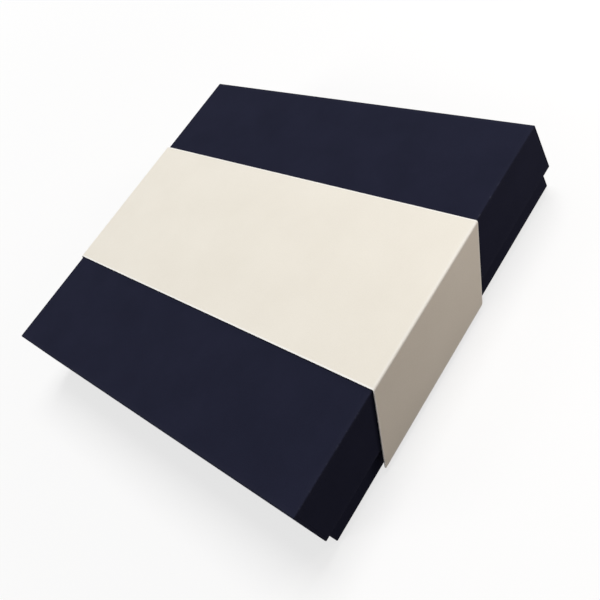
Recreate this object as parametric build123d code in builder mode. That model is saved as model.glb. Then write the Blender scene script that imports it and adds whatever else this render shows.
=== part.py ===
"""Presentation box: a rigid board box with a lift-off lid and a card band over it.

X runs along the longer side, Y from front to back and Z up from the table. The origin is on the
table, below the middle of the box. All lengths are in millimetres.
"""

import os

from build123d import *

# Outside of the closed box
box_width = 220.0
box_depth = 196.0
box_height = 40.0
lid_height = 28.0

# Board, tape and paper thicknesses, each with its film of glue
board = 1.5
stay_tape = 0.15
wrap_paper = 0.25
liner_paper = 0.2
bottom_paper = 0.25

# Papers: the folds, the turned-under strip, and the margins left round the pasted-in sheets
fold_radius_share = 2.0
fold_radius = fold_radius_share * wrap_paper
turn_under = 16.0
bottom_margin = 2.5
liner_margin = 0.3

# Corner stays: how far each strip of tape reaches along a wall
stay_reach = 12.0

# Gap on each side between the base and the inside of the lid
lid_clearance = 0.6

# Band: its width on the top, its place, and how far its side panels lean to the front
band_width = 85.0
band_shift = 1.0
band_lean = 19.0
band_card = 0.5
band_crease_radius = 0.4
band_corner_radius = 1.0
band_side_gap = 0.5
band_top_gap = 0.2
band_foot_gap = 3.0

# Lid, from the outside in
lid_rim = box_height - lid_height
lid_stay_width = box_width - 2 * wrap_paper
lid_stay_depth = box_depth - 2 * wrap_paper
lid_board_width = lid_stay_width - 2 * stay_tape
lid_board_depth = lid_stay_depth - 2 * stay_tape
lid_panel_width = lid_board_width - 2 * board
lid_panel_depth = lid_board_depth - 2 * board
lid_inside_width = lid_panel_width - 2 * wrap_paper
lid_inside_depth = lid_panel_depth - 2 * wrap_paper
lid_board_low = lid_rim + wrap_paper
lid_board_high = box_height - wrap_paper
lid_panel_low = lid_board_high - board
lid_liner_low = lid_panel_low - liner_paper

# Base, from the outside in: its rim carries the lid
base_width = lid_inside_width - 2 * lid_clearance
base_depth = lid_inside_depth - 2 * lid_clearance
base_stay_width = base_width - 2 * wrap_paper
base_stay_depth = base_depth - 2 * wrap_paper
base_board_width = base_stay_width - 2 * stay_tape
base_board_depth = base_stay_depth - 2 * stay_tape
base_floor_width = base_board_width - 2 * board
base_floor_depth = base_board_depth - 2 * board
base_inside_width = base_floor_width - 2 * wrap_paper
base_inside_depth = base_floor_depth - 2 * wrap_paper
base_rim = lid_liner_low
base_board_low = bottom_paper + wrap_paper
base_board_high = base_rim - wrap_paper
base_floor_high = base_board_low + board

# Band, at the middle of the card's thickness
band_half_width = box_width / 2 + band_side_gap + band_card / 2
band_level = box_height + band_top_gap + band_card / 2
band_bend_radius = band_crease_radius + band_card / 2
band_front = band_shift - band_width / 2
band_back = band_shift + band_width / 2


def save(piece, name):
    """Label a finished piece and write it as its own file."""
    piece.part.label = name
    export_step(piece.part, f"parts/{name}.step")


def sheet(name, width, depth, low, thickness):
    """A flat rectangular panel or paper, centred on the box."""
    with BuildPart() as panel:
        with BuildSketch(Plane.XY.offset(low)):
            Rectangle(width, depth)
        extrude(amount=thickness)
    save(panel, name)


def wall_boards(half, width, depth, low, high):
    """Four walls: the front and back boards run right across, the end boards fit between them."""
    front_back = (depth - board) / 2
    left_right = (width - board) / 2
    between = depth - 2 * board
    walls = {
        "front": (0, -front_back, width, board),
        "back": (0, front_back, width, board),
        "left": (-left_right, 0, board, between),
        "right": (left_right, 0, board, between),
    }
    for side, (x, y, along_x, along_y) in walls.items():
        with BuildPart() as wall:
            with BuildSketch(Plane.XY.offset(low)):
                with Locations((x, y)):
                    Rectangle(along_x, along_y)
            extrude(amount=high - low)
        save(wall, f"{half}_{side}_board")


def corner_stays(half, width, depth, low, high):
    """Four strips of tape, each folded round one corner of the boards."""
    with BuildPart() as stays:
        with BuildSketch(Plane.XY.offset(low)):
            Rectangle(width, depth)
            Rectangle(width - 2 * stay_tape, depth - 2 * stay_tape, mode=Mode.SUBTRACT)
            Rectangle(width - 2 * stay_reach, depth, mode=Mode.SUBTRACT)
            Rectangle(width, depth - 2 * stay_reach, mode=Mode.SUBTRACT)
        extrude(amount=high - low)
    save(stays, f"{half}_corner_stays")


def make_base_wrap():
    """Paper round the base walls: over the rim, down the inside to the floor, and turned under."""
    with BuildPart() as wrap:
        with BuildSketch(Plane.XY.offset(bottom_paper)):
            Rectangle(base_width, base_depth)
        extrude(amount=base_rim - bottom_paper)
        fillet(wrap.edges(), radius=fold_radius)
        with BuildSketch(Plane.XY.offset(base_board_low)):
            Rectangle(base_stay_width, base_stay_depth)
        extrude(amount=base_board_high - base_board_low, mode=Mode.SUBTRACT)
        with BuildSketch(Plane.XY.offset(bottom_paper)):
            Rectangle(base_width - 2 * turn_under, base_depth - 2 * turn_under)
        extrude(amount=wrap_paper, mode=Mode.SUBTRACT)
        with BuildSketch(Plane.XY.offset(base_floor_high)):
            Rectangle(base_floor_width, base_floor_depth)
        extrude(amount=base_board_high - base_floor_high)
        with BuildSketch(Plane.XY.offset(base_floor_high)):
            Rectangle(base_inside_width, base_inside_depth)
        extrude(amount=base_rim - base_floor_high, mode=Mode.SUBTRACT)
        fillet(wrap.edges(Select.LAST).group_by(Axis.Z)[-1], radius=fold_radius)
    save(wrap, "base_wrap")


def make_lid_wrap():
    """Paper over the lid: the top, the walls, round the rim and up the inside to the top board."""
    with BuildPart() as wrap:
        with BuildSketch(Plane.XY.offset(lid_rim)):
            Rectangle(box_width, box_depth)
        extrude(amount=lid_height)
        fillet(wrap.edges(), radius=fold_radius)
        with BuildSketch(Plane.XY.offset(lid_board_low)):
            Rectangle(lid_stay_width, lid_stay_depth)
        extrude(amount=lid_board_high - lid_board_low, mode=Mode.SUBTRACT)
        with BuildSketch(Plane.XY.offset(lid_board_low)):
            Rectangle(lid_panel_width, lid_panel_depth)
        extrude(amount=lid_panel_low - lid_board_low)
        with BuildSketch(Plane.XY.offset(lid_rim)):
            Rectangle(lid_inside_width, lid_inside_depth)
        extrude(amount=lid_panel_low - lid_rim, mode=Mode.SUBTRACT)
        fillet(wrap.edges(Select.LAST).group_by(Axis.Z)[0], radius=fold_radius)
    save(wrap, "lid_wrap")


def make_band():
    """One strip of card with two creases; its side panels lean to the front as they go down."""
    with BuildPart() as band:
        with BuildSketch(Plane.XZ):
            with BuildLine():
                FilletPolyline(
                    (-band_half_width, band_foot_gap),
                    (-band_half_width, band_level),
                    (band_half_width, band_level),
                    (band_half_width, band_foot_gap),
                    radius=band_bend_radius,
                )
            trace(line_width=band_card)
        extrude(amount=box_depth, both=True)
        with BuildSketch(Plane.YZ):
            with BuildLine():
                Polyline(
                    (band_front, band_level + band_card),
                    (band_back, band_level + band_card),
                    (band_back, box_height),
                    (band_back - band_lean, band_foot_gap),
                    (band_front - band_lean, band_foot_gap),
                    (band_front, box_height),
                    close=True,
                )
            make_face()
        extrude(amount=box_width, both=True, mode=Mode.INTERSECT)
        lower_corners = band.edges().group_by(Axis.Z)[0].filter_by(Axis.X)
        fillet(lower_corners, radius=band_corner_radius)
    save(band, "band")


os.makedirs("parts", exist_ok=True)

sheet("base_bottom_paper", base_width - 2 * bottom_margin, base_depth - 2 * bottom_margin, 0, bottom_paper)
sheet("base_floor_board", base_floor_width, base_floor_depth, base_board_low, board)
wall_boards("base", base_board_width, base_board_depth, base_board_low, base_board_high)
corner_stays("base", base_stay_width, base_stay_depth, base_board_low, base_board_high)
make_base_wrap()
sheet(
    "base_floor_liner",
    base_inside_width - 2 * liner_margin,
    base_inside_depth - 2 * liner_margin,
    base_floor_high,
    liner_paper,
)

sheet("lid_top_board", lid_panel_width, lid_panel_depth, lid_panel_low, board)
wall_boards("lid", lid_board_width, lid_board_depth, lid_board_low, lid_board_high)
corner_stays("lid", lid_stay_width, lid_stay_depth, lid_board_low, lid_board_high)
make_lid_wrap()
sheet(
    "lid_liner",
    lid_inside_width - 2 * liner_margin,
    lid_inside_depth - 2 * liner_margin,
    lid_liner_low,
    liner_paper,
)

make_band()
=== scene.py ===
"""The presentation box dressed for its picture: navy paper over board, and a cream card band."""

import math

import bmesh
import bpy
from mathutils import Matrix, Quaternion, Vector


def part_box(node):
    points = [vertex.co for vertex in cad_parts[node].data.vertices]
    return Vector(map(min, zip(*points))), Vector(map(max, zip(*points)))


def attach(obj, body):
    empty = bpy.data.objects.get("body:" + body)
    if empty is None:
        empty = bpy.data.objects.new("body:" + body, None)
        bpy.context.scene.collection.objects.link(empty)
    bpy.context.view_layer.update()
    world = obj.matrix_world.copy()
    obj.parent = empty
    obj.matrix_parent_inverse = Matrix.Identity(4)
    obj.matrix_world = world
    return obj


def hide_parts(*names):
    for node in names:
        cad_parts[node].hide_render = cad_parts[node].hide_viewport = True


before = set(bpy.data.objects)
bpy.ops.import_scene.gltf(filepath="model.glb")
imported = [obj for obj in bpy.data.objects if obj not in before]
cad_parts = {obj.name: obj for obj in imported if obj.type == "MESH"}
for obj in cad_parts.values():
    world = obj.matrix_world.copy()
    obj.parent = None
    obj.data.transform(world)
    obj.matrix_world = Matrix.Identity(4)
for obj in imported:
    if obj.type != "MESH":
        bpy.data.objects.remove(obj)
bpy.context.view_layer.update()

MM = 0.001

# Sizes read from the frame
LID_LOW, LID_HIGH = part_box("lid_wrap")
BASE_LOW, BASE_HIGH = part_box("base_wrap")
LID_PANEL_LOW, LID_PANEL_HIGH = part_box("lid_top_board")
BASE_FLOOR_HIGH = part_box("base_floor_board")[1]
BAND_LOW, BAND_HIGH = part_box("band")
PAPER = LID_HIGH.z - LID_PANEL_HIGH.z
LID_WALL = LID_HIGH.x - LID_PANEL_HIGH.x + PAPER
BASE_WALL = BASE_HIGH.x - BASE_FLOOR_HIGH.x + PAPER

# Paper covers: the folds, the strip turned under the base, the lapped seams and the mitred rims
FOLD_RADIUS = 0.5 * MM
FOLD_SEGMENTS = 4
FOLD_ANGLE = math.radians(45)
TURN_UNDER = 16 * MM
SEAM_INSET = 1.3 * MM
SEAM_SLOPE = 0.3 * MM
SEAM_STEP = 0.04 * MM
SEAM_DEPTH = 0.12 * MM
SEAM_FADE = 0.6 * MM
MITRE_WIDTH = 0.12 * MM
MITRE_DEPTH = 0.08 * MM

# Band of card, with the level, half length, middle line and drop of the middle of its thickness
CARD = 0.5 * MM
BAND_WIDTH = 85 * MM
BAND_LEAN = 19 * MM
BAND_LEVEL = BAND_HIGH.z - CARD / 2
BAND_HALF = BAND_HIGH.x - CARD / 2
BAND_MIDDLE = BAND_HIGH.y - BAND_WIDTH / 2
BAND_DROP = BAND_LEVEL - BAND_LOW.z
BAND_CORNER = 1 * MM
BAND_CORNER_SEGMENTS = 5
CREASE_RADIUS = 0.65 * MM
CREASE_SEGMENTS = 6
CUT_EDGE_ROUND = 0.08 * MM
CUT_EDGE_SEGMENTS = 2
CUT_EDGE_ANGLE = math.radians(60)

# Shading: the angle from which an edge stays sharp, and the corners from which a face is split
SHARP_ANGLE = math.radians(40)
SPLIT_CORNERS = 5

# Grain of the papers: cells to the metre, layers of detail, and the share of the finer layers
CLOUDS = {"scale": 45, "detail": 4, "roughness": 0.55}
CARD_CLOUDS = {"scale": 30, "detail": 4, "roughness": 0.55}
FIBRES = {"scale": 1700, "detail": 6, "roughness": 0.65}
BOARD_FIBRES = {"scale": 900, "detail": 6, "roughness": 0.65}
FLECKS = {"scale": 420, "detail": 3, "roughness": 0.6}
GRAIN_SPREAD = (0.7, 1.3)

# Surface of the papers: uneven gloss, relief of the fibres, and shine
GLOSS_SPREAD = (0.3, 0.7)
GLOSS_CHANGE = 0.05
RELIEF_STRENGTH = 0.6
PAPER_RELIEF = 0.04 * MM
NAVY_RELIEF = 0.12 * MM
CARD_RELIEF = 0.05 * MM
BOARD_RELIEF = 0.1 * MM
PAPER_SHINE = 0.2
NAVY_SHINE = 0.03

# Rubbing of the navy paper: worn flecks on the folds, and a faint painted highlight beside them
FOLD_REACH = (0.3 * MM, 0.8 * MM)
FLECK_SPREAD = (0.54, 0.70)
FLECK_PALING = 0.4
BESIDE_HIGHLIGHT_REACH = (0.3 * MM, 3 * MM)
BESIDE_HIGHLIGHT = 0.05

# Paling of the card: along its cut edges, partly the pressed, paler edge and partly a painted
# highlight; along its creases, a painted highlight
CUT_EDGE_REACH = (0.1 * MM, 1.0 * MM)
CUT_EDGE_PALING_AND_HIGHLIGHT = 0.9
CREASE_HIGHLIGHT_REACH = (0.2 * MM, 1.2 * MM)
CREASE_HIGHLIGHT = 0.3

# Navy of the covering paper, and the core of the card
NAVY_LIGHT = (0.0160, 0.0174, 0.0352)
NAVY_DARK = (0.0124, 0.0137, 0.0278)
# Paler navy, for the rubbed flecks and for the painted highlight beside the folds
NAVY_RUBBED_AND_HIGHLIT = (0.050, 0.053, 0.078)
NAVY_ROUGHNESS = 0.85
# White of the card's core, which is also the colour of the painted highlights on the card
CARD_CORE_AND_HIGHLIGHT = (0.96, 0.955, 0.93)

# Floor and surround: what the camera sees, and the light that they give
WHITE = (1, 1, 1, 1)
FLOOR_SIZE = 12
FLOOR_COLOUR = (0.97, 0.97, 0.97, 1)
FLOOR_BOUNCE = (0.24, 0.20, 0.17, 1)
FLOOR_REACH = (0.2, 0.9)
FLOOR_GLOW = (0.72, 1.0)
ROOM_COLOUR = (0.95, 0.97, 1.0, 1)
ROOM_LIGHT = 0.16

# Middle of the box and of its right side, for the lamps to point at
BOX_MIDDLE = (0, 0, 0.02)
SIDE_MIDDLE = (0.11, 0, 0.02)

# Camera of the photograph: close by, from above and to the right, and turned about its own axis
CAMERA_PLACE = Vector((0.27405, -0.10045, 0.28265))
CAMERA_AIM = Vector((0.04016, -0.00279, 0.040))
CAMERA_TURN = math.radians(-39.58)
CAMERA_LENS = 45.216
CAMERA_SHIFT = -0.05434
CAMERA_NEAR = 10 * MM
SENSOR = 36

# Tolerances for picking by direction and by place, and the room between shader nodes
NEARLY = 0.99
TINY = 0.002 * MM
NODE_SPACING = 200


def start_piece(name, add_primitive, place, size):
    """A primitive of the given place and size, with both in its mesh."""
    bpy.ops.object.select_all(action="DESELECT")
    add_primitive(size=1, location=place)
    piece = bpy.context.object
    piece.name = piece.data.name = name
    piece.scale = size
    bpy.ops.object.transform_apply(location=True, rotation=True, scale=True)
    return piece


def start_box(name, low, high):
    """A box between two corners."""
    return start_piece(name, bpy.ops.mesh.primitive_cube_add, (low + high) / 2, high - low)


def pick(piece, kind, test):
    """Select, in edit mode, only the faces, edges or corners that the test is true for."""
    bpy.ops.mesh.select_all(action="DESELECT")
    bpy.ops.mesh.select_mode(type=kind)
    mesh = bmesh.from_edit_mesh(piece.data)
    items = {"FACE": mesh.faces, "EDGE": mesh.edges, "VERT": mesh.verts}[kind]
    chosen = [item for item in items if test(item)]
    for item in chosen:
        item.select_set(True)
    mesh.select_flush_mode()
    bmesh.update_edit_mesh(piece.data)


def apply_modifier(piece, kind, **settings):
    """Add one modifier with the given settings and apply it."""
    modifier = piece.modifiers.new(kind.title(), kind)
    for name, value in settings.items():
        setattr(modifier, name, value)
    bpy.ops.object.modifier_apply(modifier=modifier.name)


def open_side(piece, side, wall, depth):
    """Open the top or the underside of a box: keep a rim, and lead the paper down its inner side."""
    pick(piece, "FACE", lambda face: side * face.normal.z > NEARLY)
    bpy.ops.mesh.inset(thickness=wall)
    bpy.ops.mesh.extrude_region_move(TRANSFORM_OT_translate={"value": (0, 0, -side * depth)})
    bpy.ops.mesh.delete(type="FACE")


def is_fold(edge):
    """An outward edge between two panels of a sheet."""
    return len(edge.link_faces) == 2 and edge.is_convex and edge.calc_face_angle() > FOLD_ANGLE


def round_folds(piece):
    """Round the folds of a sheet."""
    pick(piece, "EDGE", is_fold)
    bpy.ops.mesh.bevel(offset=FOLD_RADIUS, segments=FOLD_SEGMENTS, affect="EDGES")


def cut(piece, test, point, normal):
    """Cut the faces that the test is true for along a plane."""
    pick(piece, "FACE", test)
    bpy.ops.mesh.bisect(plane_co=point, plane_no=normal, threshold=TINY)


def press_seams(piece, low, high):
    """Press a lapped edge into the end walls beside each upright corner: a step on a gentle slope."""
    bottom = low.z + FOLD_RADIUS
    top = high.z - FOLD_RADIUS

    def on_end_wall(face):
        return abs(face.normal.x) > NEARLY and abs(face.calc_center_median().x) > high.x - TINY

    def on_foot(v):
        on_line = abs(v.co.y - foot) < TINY and end * v.co.x > high.x - TINY
        return on_line and bottom + TINY < v.co.z < top - TINY

    for height in (bottom + SEAM_FADE, top - SEAM_FADE):
        cut(piece, on_end_wall, (0, 0, height), (0, 0, 1))
    for side in (-1, 1):
        lap = side * (high.y - SEAM_INSET)
        foot = lap + side * SEAM_STEP
        for line in (lap, foot, lap + side * SEAM_SLOPE):
            cut(piece, on_end_wall, (0, line, 0), (0, 1, 0))
        for end in (-1, 1):
            pick(piece, "VERT", on_foot)
            bpy.ops.transform.translate(value=(-end * SEAM_DEPTH, 0, 0))


def press_mitres(piece, rim, corner, depth):
    """Press a fine line into each corner of the rim, where two turned-in flaps meet at 45 degrees."""
    def on_rim(face):
        return abs(face.normal.z) > NEARLY and abs(face.calc_center_median().z - rim) < TINY

    def on_mitre(v):
        off_line = corner.x - abs(v.co.x) - corner.y + abs(v.co.y)
        return abs(v.co.z - rim) < TINY and abs(off_line) < TINY

    for x_side in (-1, 1):
        for y_side in (-1, 1):
            across = Vector((x_side, -y_side, 0)).normalized()
            point = Vector((x_side * corner.x, y_side * corner.y, 0))
            for shift in (-MITRE_WIDTH, MITRE_WIDTH):
                cut(piece, on_rim, point + shift * across, across)
    pick(piece, "VERT", on_mitre)
    bpy.ops.transform.translate(value=(0, 0, depth))


def paper_thickness(piece):
    """Give a folded sheet the thickness of the paper, inwards."""
    apply_modifier(piece, "SOLIDIFY", thickness=PAPER, offset=-1, use_even_offset=True)


def make_lid_cover():
    """Navy paper over the lid: the top, the walls, round the rim and up the inside."""
    piece = start_box("lid_cover", LID_LOW, LID_HIGH)
    bpy.ops.object.mode_set(mode="EDIT")
    open_side(piece, -1, LID_WALL, LID_PANEL_LOW.z - LID_LOW.z)
    round_folds(piece)
    press_seams(piece, LID_LOW, LID_HIGH)
    press_mitres(piece, LID_LOW.z, LID_HIGH, MITRE_DEPTH)
    bpy.ops.object.mode_set(mode="OBJECT")
    paper_thickness(piece)
    return piece


def make_base_cover():
    """Navy paper round the base: turned under, up the walls, over the rim and down the inside."""
    piece = start_box("base_cover", BASE_LOW, BASE_HIGH)
    bpy.ops.object.mode_set(mode="EDIT")
    open_side(piece, 1, BASE_WALL, BASE_HIGH.z - BASE_FLOOR_HIGH.z)
    pick(piece, "FACE", lambda face: face.normal.z < -NEARLY)
    bpy.ops.mesh.inset(thickness=TURN_UNDER)
    bpy.ops.mesh.delete(type="FACE")
    round_folds(piece)
    press_seams(piece, BASE_LOW, BASE_HIGH)
    press_mitres(piece, BASE_HIGH.z, BASE_HIGH, -MITRE_DEPTH)
    bpy.ops.object.mode_set(mode="OBJECT")
    paper_thickness(piece)
    return piece


def make_band():
    """Cream card over the lid: one strip with two creases and side panels that lean to the front."""
    place = (0, BAND_MIDDLE, BAND_LEVEL)
    size = (2 * BAND_HALF, BAND_WIDTH, 1)
    piece = start_piece("cream_band", bpy.ops.mesh.primitive_plane_add, place, size)
    bpy.ops.object.mode_set(mode="EDIT")
    for end in (-1, 1):
        pick(piece, "EDGE", lambda edge: all(end * v.co.x > BAND_HALF - TINY for v in edge.verts))
        bpy.ops.mesh.extrude_region_move(
            TRANSFORM_OT_translate={"value": (0, -BAND_LEAN, -BAND_DROP)}
        )
    bpy.ops.mesh.select_all(action="SELECT")
    bpy.ops.mesh.normals_make_consistent(inside=False)
    pick(piece, "VERT", lambda v: v.co.z < BAND_LOW.z + TINY)
    bpy.ops.mesh.bevel(offset=BAND_CORNER, segments=BAND_CORNER_SEGMENTS, affect="VERTICES")
    pick(piece, "EDGE", lambda edge: len(edge.link_faces) == 2)
    bpy.ops.mesh.bevel(offset=CREASE_RADIUS, segments=CREASE_SEGMENTS, affect="EDGES")
    bpy.ops.object.mode_set(mode="OBJECT")
    return piece


def card_thickness(piece):
    """Give the strip the card's thickness, with its white core along the rounded cut edges."""
    apply_modifier(
        piece, "SOLIDIFY", thickness=CARD, offset=0, use_even_offset=True, material_offset_rim=1
    )
    apply_modifier(
        piece,
        "BEVEL",
        width=CUT_EDGE_ROUND,
        segments=CUT_EDGE_SEGMENTS,
        limit_method="ANGLE",
        angle_limit=CUT_EDGE_ANGLE,
    )


def finish_piece(piece, body, node):
    """Shade a piece by its folds, and let it stand for its CAD node and move with its body."""
    apply_modifier(piece, "TRIANGULATE", ngon_method="BEAUTY", min_vertices=SPLIT_CORNERS)
    bpy.ops.object.shade_smooth_by_angle(angle=SHARP_ANGLE)
    apply_modifier(piece, "WEIGHTED_NORMAL", keep_sharp=True)
    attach(piece, body)
    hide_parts(node)


def add_node(tree, kind, settings=None, **inputs):
    """Add a shader node beside the last one, with its settings and the values of its inputs."""
    node = tree.nodes.new(kind)
    node.location.x = NODE_SPACING * len(tree.nodes)
    for name, value in (settings or {}).items():
        setattr(node, name, value)
    for name, value in inputs.items():
        node.inputs[name.replace("_", " ").title()].default_value = value
    return node


def feed(tree, socket, value):
    """Link a socket to the output that feeds it, or set it to a plain value."""
    if isinstance(value, bpy.types.NodeSocket):
        tree.links.new(value, socket)
    else:
        socket.default_value = value


def add_math(tree, operation, *values, kind="ShaderNodeMath"):
    """Add a Math node, or another of its kind, fed by numbers or by outputs."""
    node = add_node(tree, kind, {"operation": operation})
    for socket, value in zip(node.inputs, values):
        feed(tree, socket, value)
    return node.outputs[0]


def add_vector_math(tree, operation, *values):
    """Add a Vector Math node, fed by vectors or by outputs."""
    return add_math(tree, operation, *values, kind="ShaderNodeVectorMath")


def add_range(tree, value, reach, levels, curve="LINEAR"):
    """Add a Map Range node, which goes from the first level to the second over the reach."""
    node = add_node(
        tree,
        "ShaderNodeMapRange",
        {"interpolation_type": curve},
        from_min=reach[0],
        from_max=reach[1],
        to_min=levels[0],
        to_max=levels[1],
    )
    tree.links.new(value, node.inputs["Value"])
    return node.outputs[0]


def add_fade(tree, value, reach, levels):
    """Add a Map Range node with a smooth rise or fall."""
    return add_range(tree, value, reach, levels, "SMOOTHSTEP")


def add_noise(tree, place, grain):
    """Add a Noise texture that follows the piece."""
    node = add_node(tree, "ShaderNodeTexNoise", **grain)
    tree.links.new(place, node.inputs["Vector"])
    return node.outputs[0]


def add_mix(tree, factor, first, second):
    """Mix two colours; each is a colour or the output that feeds it."""
    node = add_node(tree, "ShaderNodeMix", {"data_type": "RGBA"})
    sockets = {socket.identifier: socket for socket in (*node.inputs, *node.outputs)}
    tree.links.new(factor, sockets["Factor_Float"])
    for name, value in (("A_Color", first), ("B_Color", second)):
        feed(tree, sockets[name], (*value, 1) if isinstance(value, tuple) else value)
    return sockets["Result_Color"]


def split_place(tree, place):
    """The three parts of a place."""
    node = add_node(tree, "ShaderNodeSeparateXYZ")
    tree.links.new(place, node.inputs[0])
    return node.outputs


def start_material(name, shine):
    """A new material, its node tree, its shader and its Object coordinates."""
    material = bpy.data.materials.new(name)
    material.use_nodes = True
    tree = material.node_tree
    shader = tree.nodes["Principled BSDF"]
    shader.inputs["Specular IOR Level"].default_value = shine
    place = add_node(tree, "ShaderNodeTexCoord").outputs["Object"]
    return material, tree, shader, place


def paper_colour(tree, place, light, dark, clouds, fibres):
    """Soft clouds and fine fibres between two tones; gives the colour and the fibres."""
    soft = add_noise(tree, place, clouds)
    fine = add_noise(tree, place, fibres)
    both = add_math(tree, "ADD", soft, fine)
    spread = add_range(tree, both, GRAIN_SPREAD, (0, 1))
    return add_mix(tree, spread, dark, light), fine


def paper_surface(tree, shader, colour, fine, roughness, relief):
    """Feed the colour, an uneven gloss and the relief of the fibres to the shader."""
    levels = (roughness - GLOSS_CHANGE, roughness + GLOSS_CHANGE)
    gloss = add_range(tree, fine, GLOSS_SPREAD, levels)
    bump = add_node(tree, "ShaderNodeBump", strength=RELIEF_STRENGTH, distance=relief)
    tree.links.new(fine, bump.inputs["Height"])
    tree.links.new(colour, shader.inputs["Base Color"])
    tree.links.new(gloss, shader.inputs["Roughness"])
    tree.links.new(bump.outputs["Normal"], shader.inputs["Normal"])


def plain_paper(name, light, dark, roughness, fibres=FIBRES, relief=PAPER_RELIEF, shine=PAPER_SHINE):
    """Uncoated paper, tape or board."""
    material, tree, shader, place = start_material(name, shine)
    colour, fine = paper_colour(tree, place, light, dark, CLOUDS, fibres)
    paper_surface(tree, shader, colour, fine, roughness, relief)
    return material


def covering_paper(name, low, high):
    """Matt navy paper, rubbed a little paler in flecks along the folds of the given box, with a faint
    painted highlight beside every fold.
    """
    material, tree, shader, place = start_material(name, NAVY_SHINE)
    colour, fine = paper_colour(tree, place, NAVY_LIGHT, NAVY_DARK, CLOUDS, FIBRES)
    from_centre = add_vector_math(tree, "SUBTRACT", place, (low + high) / 2)
    one_corner = add_vector_math(tree, "ABSOLUTE", from_centre)
    from_sides = add_vector_math(tree, "SUBTRACT", (high - low) / 2, one_corner)
    x, y, z = split_place(tree, from_sides)
    total = add_math(tree, "ADD", add_math(tree, "ADD", x, y), z)
    most = add_math(tree, "MAXIMUM", add_math(tree, "MAXIMUM", x, y), z)
    from_fold = add_math(tree, "SUBTRACT", total, most)
    fold = add_fade(tree, from_fold, FOLD_REACH, (1, 0))
    # Painted highlight: a faint paler band beside every fold, added to the rubbed flecks
    beside = add_fade(tree, from_fold, BESIDE_HIGHLIGHT_REACH, (BESIDE_HIGHLIGHT, 0))
    flecks = add_fade(tree, add_noise(tree, place, FLECKS), FLECK_SPREAD, (0, FLECK_PALING))
    wear_and_highlight = add_math(tree, "ADD", add_math(tree, "MULTIPLY", fold, flecks), beside)
    worn_and_highlit = add_mix(tree, wear_and_highlight, colour, NAVY_RUBBED_AND_HIGHLIT)
    paper_surface(tree, shader, worn_and_highlit, fine, NAVY_ROUGHNESS, NAVY_RELIEF)
    return material


def card_paper(name, light, dark, roughness):
    """Smooth card that pales along its cut edges, partly a pressed edge and partly a painted
    highlight, with a painted highlight along its two creases.
    """
    material, tree, shader, place = start_material(name, PAPER_SHINE)
    colour, fine = paper_colour(tree, place, light, dark, CARD_CLOUDS, FIBRES)
    x, y, z = split_place(tree, place)
    drop = add_math(tree, "SUBTRACT", BAND_LEVEL, z)
    lean = add_math(tree, "MULTIPLY", drop, BAND_LEAN / BAND_DROP)
    upright = add_math(tree, "ADD", y, lean)
    off_middle = add_math(tree, "ABSOLUTE", add_math(tree, "SUBTRACT", upright, BAND_MIDDLE))
    from_side = add_math(tree, "SUBTRACT", BAND_WIDTH / 2, off_middle)
    from_foot = add_math(tree, "SUBTRACT", z, BAND_LOW.z)
    from_cut = add_math(tree, "MINIMUM", from_side, from_foot)
    from_end = add_math(tree, "SUBTRACT", BAND_HALF, add_math(tree, "ABSOLUTE", x))
    from_crease = add_math(tree, "ADD", from_end, drop)
    # Cut edges: partly the pressed, paler edge of the card and partly a painted highlight
    cut_edge_paling_and_highlight = add_fade(tree, from_cut, CUT_EDGE_REACH, (CUT_EDGE_PALING_AND_HIGHLIGHT, 0))
    # Painted highlight along the two creases
    crease_highlight = add_fade(tree, from_crease, CREASE_HIGHLIGHT_REACH, (CREASE_HIGHLIGHT, 0))
    pale = add_math(tree, "MAXIMUM", cut_edge_paling_and_highlight, crease_highlight)
    paled_and_highlit = add_mix(tree, pale, colour, CARD_CORE_AND_HIGHLIGHT)
    paper_surface(tree, shader, paled_and_highlit, fine, roughness, CARD_RELIEF)
    return material


def seen_factor(tree):
    """1 where a ray is the camera's own, a mirror's or a glass's, and 0 for light that bounces."""
    path = add_node(tree, "ShaderNodeLightPath").outputs
    direct = add_math(tree, "MAXIMUM", path["Is Camera Ray"], path["Is Glossy Ray"])
    return add_math(tree, "MAXIMUM", direct, path["Is Transmission Ray"])


def mix_shaders(tree, factor, first, second):
    """Mix the outputs of two shaders."""
    node = add_node(tree, "ShaderNodeMixShader")
    for socket, output in zip(node.inputs, (factor, first, second)):
        tree.links.new(output, socket)
    return node.outputs[0]


def make_floor():
    """A pale floor that looks white, keeps the shadow, and throws back a soft warm light."""
    bpy.ops.object.select_all(action="DESELECT")
    bpy.ops.mesh.primitive_plane_add(size=FLOOR_SIZE, location=(0, 0, 0))
    floor = bpy.context.object
    floor.name = "floor"
    material = bpy.data.materials.new("pale_floor")
    material.use_nodes = True
    tree = material.node_tree
    tree.nodes.remove(tree.nodes["Principled BSDF"])
    shadow = add_node(tree, "ShaderNodeBsdfDiffuse", color=FLOOR_COLOUR).outputs[0]
    glow = add_node(tree, "ShaderNodeEmission", color=WHITE, strength=1).outputs[0]
    warm = add_node(tree, "ShaderNodeBsdfDiffuse", color=FLOOR_BOUNCE).outputs[0]
    place = add_node(tree, "ShaderNodeTexCoord").outputs["Object"]
    reach = add_node(tree, "ShaderNodeVectorMath", {"operation": "LENGTH"})
    tree.links.new(place, reach.inputs[0])
    fade = add_fade(tree, reach.outputs["Value"], FLOOR_REACH, FLOOR_GLOW)
    seen = mix_shaders(tree, fade, shadow, glow)
    final = mix_shaders(tree, seen_factor(tree), warm, seen)
    tree.links.new(final, tree.nodes["Material Output"].inputs["Surface"])
    floor.data.materials.append(material)


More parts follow.
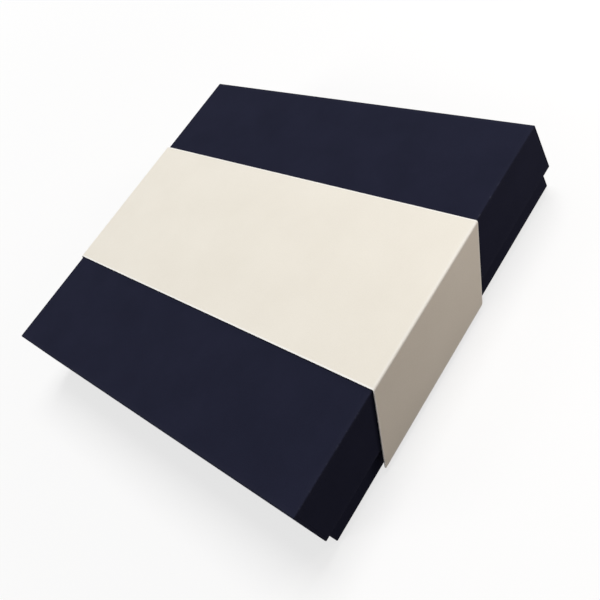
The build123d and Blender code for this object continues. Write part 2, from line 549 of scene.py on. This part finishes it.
def make_world():
    """A white surround for the camera, and a dim even light from all round."""
    world = bpy.data.worlds.new("studio")
    bpy.context.scene.world = world
    world.use_nodes = True
    tree = world.node_tree
    tree.nodes.remove(tree.nodes["Background"])
    dim = add_node(tree, "ShaderNodeBackground", color=ROOM_COLOUR, strength=ROOM_LIGHT).outputs[0]
    white = add_node(tree, "ShaderNodeBackground", color=WHITE, strength=1).outputs[0]
    both = mix_shaders(tree, seen_factor(tree), dim, white)
    tree.links.new(both, tree.nodes["World Output"].inputs["Surface"])


def make_lamp(name, place, aim, size, power, colour):
    """A square soft light that points at a spot."""
    bpy.ops.object.light_add(type="AREA", location=place)
    lamp = bpy.context.object
    lamp.name = name
    lamp.data.size = size
    lamp.data.energy = power
    lamp.data.color = colour
    lamp.rotation_euler = (Vector(aim) - Vector(place)).to_track_quat("-Z", "Y").to_euler()


def make_camera():
    """The photograph's camera."""
    bpy.ops.object.camera_add(location=CAMERA_PLACE)
    camera = bpy.context.object
    camera.data.lens = CAMERA_LENS
    camera.data.sensor_width = SENSOR
    camera.data.shift_y = CAMERA_SHIFT
    camera.data.clip_start = CAMERA_NEAR
    camera.rotation_mode = "QUATERNION"
    level = (CAMERA_AIM - CAMERA_PLACE).to_track_quat("-Z", "Y")
    camera.rotation_quaternion = level @ Quaternion((0, 0, 1), CAMERA_TURN)
    bpy.context.scene.camera = camera


# Finishes of the pieces
LID_NAVY = covering_paper("lid_navy_paper", LID_LOW, LID_HIGH)
BASE_NAVY = covering_paper("base_navy_paper", BASE_LOW, BASE_HIGH)
UNDER_NAVY = plain_paper(
    "under_navy_paper", light=NAVY_LIGHT, dark=NAVY_DARK, roughness=NAVY_ROUGHNESS, shine=NAVY_SHINE
)
CREAM = card_paper(
    "cream_card", light=(0.865, 0.827, 0.741), dark=(0.821, 0.781, 0.692), roughness=0.7
)
CORE = plain_paper("card_core", light=CARD_CORE_AND_HIGHLIGHT, dark=(0.90, 0.88, 0.83), roughness=0.85)
IVORY = plain_paper(
    "ivory_liner", light=(0.80, 0.76, 0.67), dark=(0.77, 0.73, 0.63), roughness=0.8
)
GREY = plain_paper(
    "greyboard",
    light=(0.33, 0.29, 0.24),
    dark=(0.25, 0.22, 0.18),
    roughness=0.9,
    fibres=BOARD_FIBRES,
    relief=BOARD_RELIEF,
)
KRAFT = plain_paper(
    "kraft_tape", light=(0.43, 0.28, 0.14), dark=(0.38, 0.24, 0.11), roughness=0.8
)

# New pieces, each in the place of its CAD node
lid_cover = make_lid_cover()
lid_cover.data.materials.append(LID_NAVY)
finish_piece(lid_cover, "lid", "lid_wrap")
base_cover = make_base_cover()
base_cover.data.materials.append(BASE_NAVY)
finish_piece(base_cover, "base", "base_wrap")
cream_band = make_band()
cream_band.data.materials.append(CREAM)
cream_band.data.materials.append(CORE)
card_thickness(cream_band)
finish_piece(cream_band, "band", "band")

# CAD nodes that stay, by the ends of their names
NODE_FINISHES = {"board": GREY, "stays": KRAFT, "liner": IVORY, "bottom_paper": UNDER_NAVY}
for name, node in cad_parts.items():
    for ending, finish in NODE_FINISHES.items():
        if name.endswith(ending):
            node.material_slots[0].material = finish

# Studio
make_floor()
make_world()
make_lamp(
    "key", place=(-0.2, 1.3, 2.7), aim=BOX_MIDDLE, size=1.6, power=69, colour=(1.0, 0.99, 0.98)
)
make_lamp(
    "side", place=(0.37, 0.44, 0.18), aim=SIDE_MIDDLE, size=0.2, power=1.22, colour=(1.0, 0.91, 0.845)
)
make_lamp(
    "front", place=(-1.4, -2.0, 1.2), aim=BOX_MIDDLE, size=1.2, power=18, colour=(1.0, 0.98, 0.96)
)
make_camera()
bpy.context.scene.view_settings.view_transform = "Standard"
